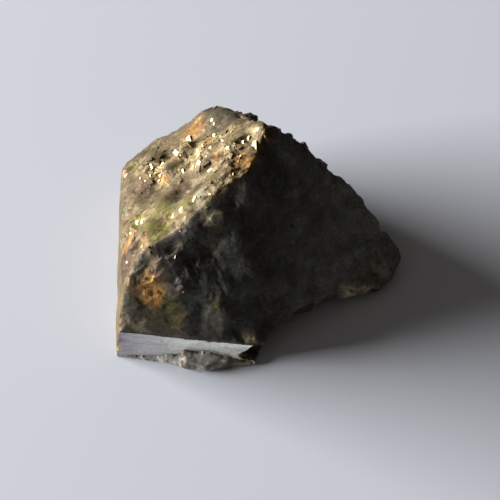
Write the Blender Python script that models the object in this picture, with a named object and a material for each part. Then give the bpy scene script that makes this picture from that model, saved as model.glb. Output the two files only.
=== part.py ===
# Marcasite specimen: one broken lump of crystalline iron sulphide, built as a single solid.
# Lengths are in millimetres and are scaled to metres when a mesh is made.
# X runs right, Y to the back and Z up. The front is the side with the smooth flat facet.

import math
import random

import bmesh
import bpy
from mathutils import Euler, Vector, noise
from mathutils.bvhtree import BVHTree

MM = 0.001
NODE = "marcasite_lump"
SEED = 11
TRIANGLES = 9600

# Corners of the lump before its surface is broken up. The ridge runs from the left wall up to the summit.
# It parts the slope that faces left from the broad face that looks right and forward.
LEFT_WALL = {
    "front_foot": (-21.1, -21.0, 0.0),
    "front_shoulder": (-20.5, -19.8, 4.9),
    "ridge_start": (-19.6, -16.2, 11.0),
    "rim_middle": (-20.2, -5.9, 11.0),
    "back_shoulder": (-20.8, 8.5, 8.4),
    "back_foot": (-20.8, 9.8, 0.0),
}
FRONT_FACET = {
    "foot_right": (-0.2, -22.4, 0.0),
    "top_middle": (-10.3, -20.7, 4.8),
    "top_right": (-2.0, -21.4, 4.1),
    "turned_corner": (0.7, -20.7, 4.1),
}
SPUR = {
    "upper": (-11.6, -13.4, 17.2),
    "middle": (-10.9, -15.2, 13.2),
}
RIDGE = {
    "low": (-17.1, -13.0, 15.5),
    "lower_middle": (-13.4, -11.8, 18.5),
    "middle": (-8.4, -8.6, 21.5),
    "upper_middle": (-4.4, -6.3, 23.4),
    "elbow": (-1.8, -5.2, 24.2),
    "upper": (-0.2, -2.6, 24.9),
    "summit": (1.4, 2.5, 25.4),
}
BACK_RIM = {
    "left": (-18.4, 10.6, 9.2),
    "left_middle": (-14.0, 10.2, 11.3),
    "bump_start": (-10.5, 12.2, 14.2),
    "bump": (-8.5, 13.2, 16.2),
    "bump_end": (-5.8, 12.8, 17.7),
    "right_middle": (-2.7, 8.9, 20.2),
    "below_summit": (0.8, 4.3, 24.0),
}
RIGHT_CREST = {
    "top": (2.9, 2.6, 24.9),
    "shoulder": (4.9, 2.8, 23.7),
    "upper": (5.9, 2.8, 21.7),
    "middle": (8.4, 1.4, 17.5),
    "lower": (12.6, 0.5, 13.7),
    "low": (16.0, 0.0, 10.4),
    "end": (18.2, -1.8, 7.2),
    "nose": (18.7, -3.4, 4.6),
}
RIGHT_TOE = {
    "front": (17.6, -10.2, 1.4),
    "end": (19.0, -6.4, 2.2),
    "back": (18.1, 0.4, 2.0),
}
BACK_BULGE = {
    "right": (14.0, 6.0, 4.0),
    "middle": (6.0, 11.3, 8.0),
    "left": (-3.0, 16.3, 7.0),
    "far_left": (-14.5, 14.0, 4.0),
}
FOOT = {
    "front": (14.0, -10.0, 0.0),
    "right": (16.8, -3.0, 0.0),
    "back_right": (12.5, 4.0, 0.0),
    "back": (2.0, 13.0, 0.0),
    "back_left": (-12.0, 13.0, 0.0),
}
CORNER_GROUPS = (LEFT_WALL, FRONT_FACET, SPUR, RIDGE, BACK_RIM, RIGHT_CREST, RIGHT_TOE, BACK_BULGE, FOOT)

# Wedges cut out of the lump. Each is the hull of its corners.
WEDGES = {
    "under_toe": [
        (-0.9, -21.6, -1.0), (2.2, -14.2, -1.0), (14.0, -8.2, -1.0), (24.0, -7.6, -1.0),
        (24.0, -30.0, -1.0), (-0.9, -30.0, -1.0), (1.4, -21.2, 3.0), (4.6, -16.6, 3.6),
        (13.2, -12.0, 4.4), (24.0, -11.4, 4.6), (24.0, -30.0, 4.6), (1.4, -30.0, 4.6),
    ],
    "facet_end": [
        (-6.4, -23.8, 1.0), (3.0, -23.8, 1.0), (-6.0, -23.8, 1.4), (3.0, -23.8, 4.9),
        (-2.6, -20.6, 1.2), (3.0, -19.2, 1.2), (3.0, -19.2, 3.4),
    ],
    "facet_nick": [(-9.8, -21.6, 5.6), (-9.1, -21.6, 5.6), (-9.5, -21.6, 4.1), (-9.5, -19.8, 5.6)],
}

# Directions of the faces that are smoother than the rest, and the share of the relief that they keep.
CALM_FACES = {
    "front_facet": ((-0.07, -0.97, 0.2), 0.0),
    "left_wall": ((-1.0, 0.0, 0.06), 0.1),
    "foot": ((0.0, 0.0, -1.0), 0.0),
    "broad_face": ((0.45, -0.6, 0.66), 0.45),
}
CALM_WITHIN = 12.0  # degrees from the direction where the calm is full
CALM_UNTIL = 30.0  # degrees where it ends

# Hollows in the surface: centre, reach and depth. A negative depth is a swell.
HOLLOWS = [
    ((-13.0, 11.5, 12.5), 4.0, 0.4),
    ((-20.5, -3.0, 11.0), 1.8, 0.8),
    ((-14.8, -1.5, 15.0), 2.8, 0.9),
    ((-10.5, -4.5, 18.5), 2.6, 0.8),
    ((-16.2, -15.2, 10.5), 2.4, 0.6),
    ((-9.2, -12.6, 16.0), 3.0, 0.8),
    ((-2.0, -14.0, 12.5), 5.0, -0.6),
    ((8.5, -6.0, 11.5), 5.5, 0.8),
    ((4.6, -1.2, 20.5), 2.6, 0.7),
    ((6.8, -0.6, 18.6), 3.0, -0.2),
    ((-10.4, 12.4, 14.8), 2.2, -0.4),
    ((9.2, 1.8, 17.4), 3.0, 0.9),
    ((-7.5, 14.5, 12.0), 5.0, 0.9),
    ((10.0, 7.5, 8.0), 4.5, 0.8),
]

# Places where the relief fades, so that the ridge and the rim stay sharp: centre and reach.
CALM_SPOTS = [
    ((-19.0, -15.6, 12.0), 3.6),
    ((-15.5, -12.6, 16.8), 3.4),
    ((-10.6, -10.2, 20.0), 2.8),
    ((-6.4, -7.6, 22.4), 2.4),
    ((0.6, 0.0, 25.0), 2.8),
    ((-8.0, 12.6, 16.4), 2.6),
    ((-16.0, 10.4, 10.2), 2.8),
    ((-2.6, 8.9, 20.2), 2.6),
    ((4.9, 2.8, 23.0), 2.6),
    ((8.9, 1.7, 17.9), 4.4),
    ((12.6, 0.5, 13.7), 4.0),
    ((-11.8, 11.4, 13.2), 2.6),
    ((-15.5, -20.2, 5.4), 2.6),
    ((-6.0, -21.0, 5.0), 2.6),
]
SPOT_FADE = (-0.6, 1.0)  # where the fade starts and ends, as shares of the reach

# Relief of the broken faces: the spacing and the depth of each scale.
BLOCKS = (4.4, 2.9)
GRAINS = (2.1, 1.0)
SWELL = (11.0, 0.6)
LEDGES = (4.4, 0.7)
WARP = (5.0, 1.7)  # how the blocks are made uneven: wave length and shift
WARP_APART = (  # where in the noise the shift along each axis is read
    Vector((0.0, 0.0, 0.0)),
    Vector((31.4, 7.7, 13.1)),
    Vector((-17.3, 43.9, 5.2)),
)
PATCHES = (6.5, 0.45)  # how the depth of the relief varies: wave length and least share
BLOCK_LEVEL = 0.34  # the block depth that leaves the surface where it is
BLOCK_TURN = 53.0  # any large number, to turn neighbouring blocks unlike each other
ACROSS_LEDGES = Vector((-0.6, 0.7, 0.35)).normalized()  # the ledges run along the ridge
LEDGE_FACE = Vector((-0.585, 0.246, 0.773))  # outward direction of the slope that has them
LEDGE_FADE = (0.7, 0.95)

FIRST_GRID = 0.42  # spacing of the points that carry the relief
LAST_GRID = 0.34  # spacing at which the crystals are fused to the lump
FOOT_LEVEL = 0.1  # height at which the foot is cut flat

# Single crystals that stand out: centre, the three lengths, and the turn about X, Y and Z in degrees.
CRYSTALS = {
    "right_end_large": ((18.6, -4.9, 2.6), (4.2, 3.8, 3.8), (12, 24, 30)),
    "right_end_top": ((18.8, -3.2, 4.0), (2.4, 2.3, 2.0), (30, 10, 50)),
    "right_end_low": ((19.0, -6.8, 1.8), (3.2, 2.8, 2.4), (5, 30, 70)),
    "right_end_side": ((17.0, -9.3, 1.9), (3.0, 2.2, 1.8), (20, 15, 10)),
    "toe_bright": ((12.8, -11.3, 2.4), (2.8, 1.5, 1.3), (30, 5, 20)),
    "toe_beside": ((15.6, -10.5, 2.0), (2.6, 1.2, 1.2), (10, 25, 18)),
    "toe_middle": ((8.6, -12.8, 3.0), (2.4, 1.7, 1.6), (25, 10, 35)),
    "toe_low": ((7.0, -13.2, 1.8), (2.8, 1.6, 1.2), (5, 12, 30)),
    "toe_corner": ((4.2, -15.9, 3.4), (1.9, 1.8, 1.8), (40, 20, 5)),
    "facet_end": ((-0.2, -20.6, 3.7), (3.0, 1.4, 1.5), (8, 22, 6)),
    "foot_ledge": ((-3.0, -21.6, 0.3), (5.2, 2.2, 1.3), (6, 0, 3)),
    "foot_band": ((-17.2, -20.6, 0.1), (7.4, 1.8, 1.4), (24, 2, -9)),
    "foot_knob": ((-9.0, -22.3, 0.5), (4.2, 3.0, 2.3), (14, 6, -8)),
    "foot_knob_right": ((-6.0, -22.1, 0.5), (3.6, 2.6, 1.7), (-18, 5, 12)),
    "foot_knob_left": ((-12.4, -21.6, 0.3), (3.6, 2.2, 1.3), (20, -5, -10)),
    "spark_low": ((-12.2, -13.7, 14.4), (1.1, 2.2, 1.2), (35, 20, 10)),
    "spark_side": ((-11.3, -14.9, 12.2), (1.0, 1.6, 1.0), (15, 45, 30)),
    "spark_right": ((4.7, -6.2, 14.6), (1.2, 2.4, 1.2), (30, 10, -8)),
    "broad_bump": ((-6.6, -9.4, 19.2), (2.6, 2.8, 1.8), (30, 20, 15)),
    "broad_plate": ((-9.6, -14.4, 12.0), (3.0, 3.4, 1.6), (50, 12, 20)),
    "rim_block": ((-7.2, 11.0, 16.0), (2.6, 2.4, 2.2), (35, 20, 40)),
    "summit_block": ((1.6, 1.6, 24.0), (2.6, 2.4, 2.2), (20, 30, 25)),
    "crest_block": ((4.8, 0.9, 20.6), (3.0, 2.4, 2.4), (40, 15, 60)),
    "crest_low": ((12.6, -1.2, 11.2), (3.0, 2.4, 2.4), (10, 35, 15)),
}

# Where groups of small crystals grow: centre, reach, how many, and the smallest and largest length.
CLUSTERS = [
    ((-15.6, 5.0, 12.5), 3.0, 12, (1.4, 2.5)),
    ((-10.8, 3.5, 17.0), 3.4, 14, (1.5, 2.8)),
    ((-6.0, 3.0, 19.8), 3.0, 12, (1.4, 2.6)),
    ((-3.0, -0.5, 22.6), 2.2, 8, (1.3, 2.2)),
    ((-18.4, -8.5, 13.0), 2.4, 7, (1.3, 2.2)),
    ((0.0, 14.0, 10.0), 5.0, 12, (2.0, 3.6)),
    ((10.5, 7.5, 5.0), 3.6, 10, (1.6, 3.0)),
    ((-9.0, 14.5, 5.5), 3.6, 9, (1.8, 3.0)),
]
CLUSTER_SINK = 0.3  # how deep a crystal's heart lies, as a share of its size
CORNER_CUT = 0.4  # what is left of an edge towards a cut corner, as a share of half the edge


def clear_scene():
    for obj in list(bpy.data.objects):
        bpy.data.objects.remove(obj, do_unlink=True)


def add_hull(bm, points):
    """Adds the convex hull of the points to the bmesh."""
    verts = [bm.verts.new(p) for p in points]
    bmesh.ops.convex_hull(bm, input=verts)
    inside = [v for v in verts if not v.link_faces]
    bmesh.ops.delete(bm, geom=inside, context="VERTS")


def new_object(name, bm):
    """An object in metres from a bmesh in millimetres."""
    bmesh.ops.recalc_face_normals(bm, faces=bm.faces)
    bmesh.ops.scale(bm, vec=(MM, MM, MM), verts=bm.verts)
    mesh = bpy.data.meshes.new(name)
    bm.to_mesh(mesh)
    bm.free()
    obj = bpy.data.objects.new(name, mesh)
    bpy.context.scene.collection.objects.link(obj)
    return obj


def apply_modifiers(obj):
    """Replaces the object's mesh with what its modifiers make of it."""
    graph = bpy.context.evaluated_depsgraph_get()
    mesh = bpy.data.meshes.new_from_object(obj.evaluated_get(graph))
    obj.modifiers.clear()
    obj.data = mesh


def regrid(obj, spacing):
    """Remakes the surface as one closed skin of evenly spaced points."""
    remesh = obj.modifiers.new("regrid", "REMESH")
    remesh.mode = "VOXEL"
    remesh.voxel_size = spacing * MM
    apply_modifiers(obj)


def cut_wedge(obj, name, corners):
    bm = bmesh.new()
    add_hull(bm, corners)
    wedge = new_object(name, bm)
    wedge.hide_render = True
    wedge.display_type = "WIRE"
    boolean = obj.modifiers.new(name, "BOOLEAN")
    boolean.operation = "DIFFERENCE"
    boolean.object = wedge


def ease(value, start, end):
    """0 at start, 1 at end and smooth between."""
    t = min(max((value - start) / (end - start), 0.0), 1.0)
    return t * t * (3.0 - 2.0 * t)


def warp_at(point):
    """A smooth shift with its own noise along each axis."""
    return WARP[1] * Vector([noise.noise(point / WARP[0] + apart) for apart in WARP_APART])


def block_depth(point, spacing):
    """How far a point is from the heart of the nearest of many randomly turned cubes, in spacings."""
    here = point / spacing
    nearest = math.inf
    for heart in noise.voronoi(here)[1]:
        turn = Euler(noise.cell_vector(heart * BLOCK_TURN) * math.tau).to_matrix()
        nearest = min(nearest, max(abs(c) for c in turn @ (here - heart)))
    return nearest


def relief_share(point, outward):
    """How much of the relief the surface keeps at a point."""
    wave, least = PATCHES
    share = least + (1.0 - least) * ease(noise.noise(point / wave), -0.3, 0.3)
    for direction, left in CALM_FACES.values():
        away = math.degrees(outward.angle(Vector(direction)))
        share = min(share, left + (1.0 - left) * ease(away, CALM_WITHIN, CALM_UNTIL))
    for centre, reach in CALM_SPOTS:
        share *= ease((point - Vector(centre)).length / reach, *SPOT_FADE)
    return share


def relief_at(point, outward):
    """How far the broken surface stands out from the plain lump at a point."""
    relief = 0.0
    uneven = point + warp_at(point)
    for spacing, depth in (BLOCKS, GRAINS):
        relief += depth * (BLOCK_LEVEL - block_depth(uneven, spacing))
    drift = noise.noise(point / SWELL[0])
    relief += SWELL[1] * drift
    step = (point.dot(ACROSS_LEDGES) / LEDGES[0] + drift) % 1.0
    relief += LEDGES[1] * (step - 0.5) * ease(outward.dot(LEDGE_FACE), *LEDGE_FADE)
    for centre, reach, depth in HOLLOWS:
        away = (point - Vector(centre)).length / reach
        relief -= depth * math.exp(-away * away)
    return relief


def roughen(obj):
    """Moves the points of the lump in or out by the relief."""
    points = [vert.co / MM for vert in obj.data.vertices]
    outwards = [normal.vector.copy() for normal in obj.data.vertex_normals]
    for vert, point, outward in zip(obj.data.vertices, points, outwards):
        share = relief_share(point, outward)
        if share > 0.0:
            vert.co = (point + outward * share * relief_at(point, outward)) * MM


def make_lump():
    bm = bmesh.new()
    add_hull(bm, [corner for group in CORNER_GROUPS for corner in group.values()])
    lump = new_object(NODE, bm)
    for name, corners in WEDGES.items():
        cut_wedge(lump, name, corners)
    regrid(lump, FIRST_GRID)
    roughen(lump)
    return lump


def crystal_corners(centre, lengths, turn):
    """Corners of a box whose two opposite corners are cut off."""
    spin = Euler([math.radians(a) for a in turn]).to_matrix()
    corners = []
    for signs in [(x, y, z) for x in (-1, 1) for y in (-1, 1) for z in (-1, 1)]:
        corner = Vector(signs) / 2
        if abs(sum(signs)) < 3:
            corners.append(corner)
            continue
        for axis in range(3):
            cut = corner.copy()
            cut[axis] *= CORNER_CUT
            corners.append(cut)
    return [Vector(centre) + spin @ (corner * Vector(lengths)) for corner in corners]


def cluster_crystals(lump):
    """Small crystals half set into the lump around the centre of each cluster."""
    draw = random.Random(SEED)
    surface = BVHTree.FromObject(lump, bpy.context.evaluated_depsgraph_get())
    for centre, reach, count, sizes in CLUSTERS:
        for _ in range(count):
            aim = Vector(centre) + Vector([draw.gauss(0.0, reach / 2) for _ in range(3)])
            found, outward, _, _ = surface.find_nearest(aim * MM)
            size = draw.uniform(*sizes)
            lengths = [size * draw.uniform(0.75, 1.25) for _ in range(3)]
            turn = [draw.uniform(0.0, 90.0) for _ in range(3)]
            yield found / MM - outward * size * CLUSTER_SINK, lengths, turn


def grow_crystals(lump):
    """Adds all crystals to the lump's mesh and fuses them by making the surface anew."""
    bm = bmesh.new()
    bm.from_mesh(lump.data)
    bmesh.ops.scale(bm, vec=(1 / MM, 1 / MM, 1 / MM), verts=bm.verts)
    for centre, lengths, turn in list(CRYSTALS.values()) + list(cluster_crystals(lump)):
        add_hull(bm, crystal_corners(centre, lengths, turn))
    bmesh.ops.scale(bm, vec=(MM, MM, MM), verts=bm.verts)
    bm.to_mesh(lump.data)
    bm.free()
    regrid(lump, LAST_GRID)


def joined_to(vert):
    """The vertices that edges join to this one, itself included."""
    found = {vert}
    waiting = [vert]
    while waiting:
        for edge in waiting.pop().link_edges:
            for end in edge.verts:
                if end not in found:
                    found.add(end)
                    waiting.append(end)
    return found


def close_pockets(lump):
    """Removes the small closed skins that the crystals shut in, and keeps the outer one."""
    bm = bmesh.new()
    bm.from_mesh(lump.data)
    outer = joined_to(max(bm.verts, key=lambda vert: vert.co.z))
    inner = [vert for vert in bm.verts if vert not in outer]
    bmesh.ops.delete(bm, geom=inner, context="VERTS")
    bm.to_mesh(lump.data)
    bm.free()


def simplify(lump):
    """Merges triangles where the surface is flat, down to the number wanted."""
    triangles = sum(len(face.vertices) - 2 for face in lump.data.polygons)
    decimate = lump.modifiers.new("simplify", "DECIMATE")
    decimate.ratio = TRIANGLES / triangles
    decimate.use_collapse_triangulate = True
    apply_modifiers(lump)


def flatten_foot(lump):
    """Cuts the lump flat at its foot and puts the origin under the middle of it."""
    bm = bmesh.new()
    bm.from_mesh(lump.data)
    everything = bm.verts[:] + bm.edges[:] + bm.faces[:]
    level = Vector((0.0, 0.0, FOOT_LEVEL * MM))
    down = Vector((0.0, 0.0, -1.0))
    cut = bmesh.ops.bisect_plane(bm, geom=everything, plane_co=level, plane_no=down, clear_outer=True)
    rim = [item for item in cut["geom_cut"] if isinstance(item, bmesh.types.BMEdge)]
    bmesh.ops.holes_fill(bm, edges=rim)
    bmesh.ops.triangulate(bm, faces=bm.faces)
    low = Vector([min(v.co[i] for v in bm.verts) for i in range(3)])
    high = Vector([max(v.co[i] for v in bm.verts) for i in range(3)])
    middle = (low + high) / 2
    bmesh.ops.translate(bm, vec=(-middle.x, -middle.y, -low.z), verts=bm.verts)
    bm.to_mesh(lump.data)
    bm.free()


def sulphide_material():
    """Tarnished, brassy grey metal."""
    material = bpy.data.materials.new("tarnished_sulphide")
    material.use_nodes = True
    shader = material.node_tree.nodes["Principled BSDF"]
    shader.inputs["Base Color"].default_value = (0.36, 0.30, 0.20, 1.0)
    shader.inputs["Metallic"].default_value = 0.85
    shader.inputs["Roughness"].default_value = 0.42
    return material


def build():
    clear_scene()
    lump = make_lump()
    grow_crystals(lump)
    close_pockets(lump)
    simplify(lump)
    flatten_foot(lump)
    lump.data.materials.clear()
    lump.data.materials.append(sulphide_material())


build()
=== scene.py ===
# Marcasite specimen on white paper: the finish of one broken lump of crystalline iron sulphide.
# Lengths are millimetres, scaled to metres where a mesh or an object is made. Places marked as pixels
# are pixels of a 500 x 500 picture through the camera below, and are carried onto the lump's surface.

import math

import bmesh
import bpy
import numpy as np
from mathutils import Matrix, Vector
from mathutils.bvhtree import BVHTree


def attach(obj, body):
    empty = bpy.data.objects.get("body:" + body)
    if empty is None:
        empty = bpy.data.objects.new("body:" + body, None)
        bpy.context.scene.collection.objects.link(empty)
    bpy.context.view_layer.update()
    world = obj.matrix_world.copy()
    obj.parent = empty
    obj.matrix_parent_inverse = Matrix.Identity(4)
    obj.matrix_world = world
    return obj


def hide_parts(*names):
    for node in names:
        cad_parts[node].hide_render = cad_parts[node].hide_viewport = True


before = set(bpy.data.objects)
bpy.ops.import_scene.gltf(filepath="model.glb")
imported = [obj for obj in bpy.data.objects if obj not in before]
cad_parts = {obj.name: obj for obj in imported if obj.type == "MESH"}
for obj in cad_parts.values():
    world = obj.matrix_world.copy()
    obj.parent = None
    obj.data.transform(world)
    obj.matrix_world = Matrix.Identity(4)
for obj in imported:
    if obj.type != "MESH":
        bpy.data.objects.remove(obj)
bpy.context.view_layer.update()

mm = 0.001
lumpNode = "marcasite_lump"
scene = bpy.context.scene


def addObject(name, data):
    made = bpy.data.objects.new(name, data)
    scene.collection.objects.link(made)
    return made


# Shader node helpers.

def put(tree, kind, *feeds, **settings):
    # a node whose inputs are fed in order by sockets or plain values
    made = tree.nodes.new("ShaderNode" + kind)
    for name, value in settings.items():
        setattr(made, name, value)
    for socket, feed in zip(made.inputs, feeds):
        if isinstance(feed, bpy.types.NodeSocket):
            tree.links.new(feed, socket)
        elif feed is not None:
            socket.default_value = feed
    return made


def mixed(tree, share, first, second, blend="MIX"):
    # one colour from two; a Mix node's colour sockets are inputs 0, 6 and 7, and output 2
    made = tree.nodes.new("ShaderNodeMix")
    made.data_type = "RGBA"
    made.blend_type = blend
    for number, feed in ((0, share), (6, first), (7, second)):
        if isinstance(feed, bpy.types.NodeSocket):
            tree.links.new(feed, made.inputs[number])
        else:
            made.inputs[number].default_value = feed
    return made.outputs[2]


def ranged(tree, value, low, high, newLow=0.0, newHigh=1.0, smooth=True):
    style = "SMOOTHSTEP" if smooth else "LINEAR"
    return put(tree, "MapRange", value, low, high, newLow, newHigh, interpolation_type=style).outputs["Result"]


def useGroup(tree, group, **feeds):
    made = tree.nodes.new("ShaderNodeGroup")
    made.node_tree = group
    for label, feed in feeds.items():
        if isinstance(feed, bpy.types.NodeSocket):
            tree.links.new(feed, made.inputs[label])
        else:
            made.inputs[label].default_value = feed
    return made.outputs


def opaque(color):
    return (*color, 1.0)


def attribute(tree, name):
    return put(tree, "Attribute", attribute_name=name).outputs["Fac"]


def noiseField(tree, place, settings):
    # settings are its scale, detail and roughness
    return put(tree, "TexNoise", place, None, *settings).outputs["Fac"]


def placeInMm(tree):
    # where a point is on its object, in millimetres
    place = put(tree, "VectorMath", put(tree, "TexCoord").outputs["Object"], operation="SCALE")
    place.inputs["Scale"].default_value = 1.0 / mm
    return place.outputs[0]


def newMaterial(name):
    material = bpy.data.materials.new(name)
    material.use_nodes = True
    tree = material.node_tree
    return material, tree, tree.nodes["Principled BSDF"].inputs


# The camera looks down at the lump from the front, as in the photograph.

cameraSet = {
    "target": (-1.54, -4.98, 9.9),
    "distance": 400.0,
    "elevation": 55.0,  # degrees above the paper
    "lens": 196.0,
    "sensor": 36.0,
    "clip": (0.01, 10.0),  # metres
    "pictureSide": 500,  # pixels
}


def makeCamera(s):
    data = bpy.data.cameras.new("specimen_camera")
    data.lens = s["lens"]
    data.sensor_width = s["sensor"]
    data.clip_start, data.clip_end = s["clip"]
    made = addObject("specimen_camera", data)
    up = math.radians(s["elevation"])
    back = Vector((0.0, -math.cos(up), math.sin(up)))
    made.location = (Vector(s["target"]) + back * s["distance"]) * mm
    made.rotation_euler = (math.pi / 2 - up, 0.0, 0.0)
    scene.camera = made
    return made


camera = makeCamera(cameraSet)
print("camera ready")


# Paper, window light and the dim room.

stage = {
    "paperSize": 3000.0,
    "paperColor": (0.70, 0.725, 0.80),
    "paperRoughness": 0.9,
    "paperSpecular": 0.1,
    "paperLevel": -0.02,  # just under the lump's foot
    "windowFrom": (11.5, 11.3),  # degrees behind the left side, and above the paper
    "windowAway": 1500.0,
    "windowSize": (1250.0, 300.0),
    "windowPower": 97.0,  # watts
    "roomBright": (0.105, 0.096, 0.085),
    "roomDark": (0.020, 0.018, 0.017),
    "roomTurn": (-0.85, 0.1, 0.5),  # the way to the bright side of the room
    "roomEnds": (-0.7, 1.0),  # how far along that way it begins to brighten, and is brightest
    "shadeCard": [  # corners of the dark card that the polished faces see
        (3.0, -22.7), (26.0, -20.7), (26.0, 260.0), (700.0, 260.0), (700.0, -300.0), (3.0, -300.0),
    ],
    "shadeCardLevel": 0.3,
    "shadeCardColor": (0.03, 0.03, 0.03),
}


def flatSheet(name, corners, level, color, roughness, specular):
    mesh = bpy.data.meshes.new(name)
    mesh.from_pydata([(x * mm, y * mm, level * mm) for x, y in corners], [], [range(len(corners))])
    material, _, shader = newMaterial(name)
    shader["Base Color"].default_value = opaque(color)
    shader["Roughness"].default_value = roughness
    shader["Specular IOR Level"].default_value = specular
    mesh.materials.append(material)
    made = addObject(name, mesh)
    return made


def makeWindow(s):
    data = bpy.data.lights.new("window", "AREA")
    data.shape = "RECTANGLE"
    data.size, data.size_y = (side * mm for side in s["windowSize"])
    data.energy = s["windowPower"]
    window = addObject("window", data)
    around, up = (math.radians(a) for a in s["windowFrom"])
    toward = Vector((-math.cos(up) * math.cos(around), math.cos(up) * math.sin(around), math.sin(up)))
    window.location = toward * s["windowAway"] * mm
    window.rotation_mode = "QUATERNION"
    window.rotation_quaternion = toward.to_track_quat("Z", "Y")
    return toward


def makeRoom(s):
    world = bpy.data.worlds.new("room")
    world.use_nodes = True
    tree = world.node_tree
    way = put(tree, "TexCoord").outputs["Generated"]
    side = put(tree, "VectorMath", way, Vector(s["roomTurn"]).normalized(), operation="DOT_PRODUCT")
    share = ranged(tree, side.outputs["Value"], *s["roomEnds"], smooth=False)
    color = mixed(tree, share, opaque(s["roomDark"]), opaque(s["roomBright"]))
    tree.links.new(color, tree.nodes["Background"].inputs["Color"])
    scene.world = world


def makeStage(s):
    half = s["paperSize"] / 2
    sheet = [(-half, -half), (half, -half), (half, half), (-half, half)]
    flatSheet("paper", sheet, s["paperLevel"], s["paperColor"], s["paperRoughness"], s["paperSpecular"])
    card = flatSheet("shade_card", s["shadeCard"], s["shadeCardLevel"], s["shadeCardColor"], 1.0, 0.0)
    card.visible_camera = card.visible_diffuse = card.visible_shadow = False  # only mirrored
    makeRoom(s)
    return makeWindow(s)


towardWindow = makeStage(stage)
towardCamera = (camera.location - Vector(cameraSet["target"]) * mm).normalized()
glintNormal = np.array((towardWindow + towardCamera).normalized())  # such a facet mirrors the window
print("paper and light ready")


# Repeatable random numbers and fields, for many points at once. A salt sets one use apart from the others.

def cellRandom(cells, salt):
    # three numbers from 0 to 1 for each whole-number cell
    key = (cells @ np.array([73856093, 19349663, 83492791]) + salt * 2654435761) & 0xFFFFFFFF
    drawn = []
    for _ in range(3):
        key = ((key ^ (key >> 15)) * 0x2C1B3C6D) & 0xFFFFFFFF
        key = ((key ^ (key >> 12)) * 0x297A2D39) & 0xFFFFFFFF
        key = key ^ (key >> 15)
        drawn.append(key / 2.0**32)
    return np.stack(drawn, -1)


def spin(vectors, angles):
    # turns each vector about X, Y and Z by its own three angles
    turned = vectors.copy()
    for axis in range(3):
        a, b = (axis + 1) % 3, (axis + 2) % 3
        c, s = np.cos(angles[:, axis]), np.sin(angles[:, axis])
        first, second = turned[:, a].copy(), turned[:, b].copy()
        turned[:, a] = c * first - s * second
        turned[:, b] = s * first + c * second
    return turned


def blockField(points, spacing, salt):
    # how far each point is from the heart of the nearest of many cubes packed at random angles, in spacings,
    # and a random number of that cube's own
    here = points / spacing
    base = np.floor(here).astype(np.int64)
    nearest = np.full(len(points), 9.0)
    tone = np.zeros(len(points))
    for step in np.ndindex(3, 3, 3):
        cells = base + np.array(step) - 1
        away = spin(here - cells - cellRandom(cells, salt), cellRandom(cells, salt + 1) * math.tau)
        reach = np.abs(away).max(-1)
        closer = reach < nearest
        nearest[closer] = reach[closer]
        tone[closer] = cellRandom(cells[closer], salt + 2)[:, 0]
    return nearest, tone


def smoothNoise(points, spacing, salt):
    # three smooth numbers from -1 to 1 at each point
    here = points / spacing
    base = np.floor(here).astype(np.int64)
    part = here - base
    part = part * part * (3.0 - 2.0 * part)
    total = np.zeros((len(points), 3))
    for corner in np.ndindex(2, 2, 2):
        weight = np.prod(np.where(np.array(corner) == 1, part, 1.0 - part), axis=-1)
        total += weight[:, None] * cellRandom(base + np.array(corner), salt)
    return total * 2.0 - 1.0


def unit(vectors):
    return vectors / np.linalg.norm(vectors, axis=-1, keepdims=True)


def ease(values, start, end):
    t = np.clip((values - start) / (end - start), 0.0, 1.0)
    return t * t * (3.0 - 2.0 * t)


# The faces of the lump: which way each looks, and how much of the fine relief it keeps.

faces = {
    "litSlope": ((-0.585, 0.246, 0.773), 0.15),
    "broadFace": ((0.45, -0.6, 0.66), 0.1),
    "leftWall": ((-1.0, 0.0, 0.06), 0.08),
    "frontFacet": ((-0.07, -0.97, 0.2), 0.0),
    "foot": ((0.0, 0.0, -1.0), 0.0),
}


def towardOf(face):
    return np.array(Vector(faces[face][0]).normalized())


def faceShare(outwards, face, within=14.0, until=30.0):
    # 1 where the surface looks the way of the face, down to 0 at so many degrees from it
    away = np.degrees(np.arccos(np.clip(outwards @ towardOf(face), -1.0, 1.0)))
    return 1.0 - ease(away, within, until)


# Places on the lump, found through the camera.

formTree = BVHTree.FromObject(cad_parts[lumpNode], bpy.context.evaluated_depsgraph_get())


def onSurface(x, y, tree=formTree):
    # the place that shows at a pixel, in millimetres
    s = cameraSet
    half = s["pictureSide"] / 2
    wide = s["sensor"] / 2 / s["lens"]
    aim = Vector(((x - half) / half * wide, (half - y) / half * wide, -1.0)).normalized()
    aim = camera.rotation_euler.to_matrix() @ aim
    place = tree.ray_cast(camera.location, aim)[0]
    if place is None:
        place = tree.find_nearest(camera.location + aim * s["distance"] * mm)[0]
    return np.array(place) / mm


def farFrom(points, x, y):
    # distances from the place that shows at a pixel
    return np.linalg.norm(points - onSurface(x, y), axis=-1)


def formOutwards(points):
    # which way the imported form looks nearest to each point
    return np.array([formTree.find_nearest(Vector(point) * mm)[1] for point in points])


# Mesh helpers.

def applyModifiers(obj):
    graph = bpy.context.evaluated_depsgraph_get()
    mesh = bpy.data.meshes.new_from_object(obj.evaluated_get(graph))
    obj.modifiers.clear()
    obj.data = mesh


def readVectors(items, field):
    values = np.zeros(len(items) * 3, np.float32)
    items.foreach_get(field, values)
    return values.reshape(-1, 3).astype(float)


def areasOf(mesh):
    areas = np.zeros(len(mesh.polygons), np.float32)
    mesh.polygons.foreach_get("area", areas)
    return areas.astype(float)


def movePoints(mesh, points):
    mesh.vertices.foreach_set("co", (points * mm).astype(np.float32).ravel())
    mesh.update()


def writeAttribute(mesh, name, values, domain="POINT"):
    made = mesh.attributes.new(name, "FLOAT", domain)
    made.data.foreach_set("value", np.asarray(values, np.float32))


def triangleCount(mesh):
    return sum(len(p.vertices) - 2 for p in mesh.polygons)


# The flat front facet: its plane and its straight upper edge.

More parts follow.
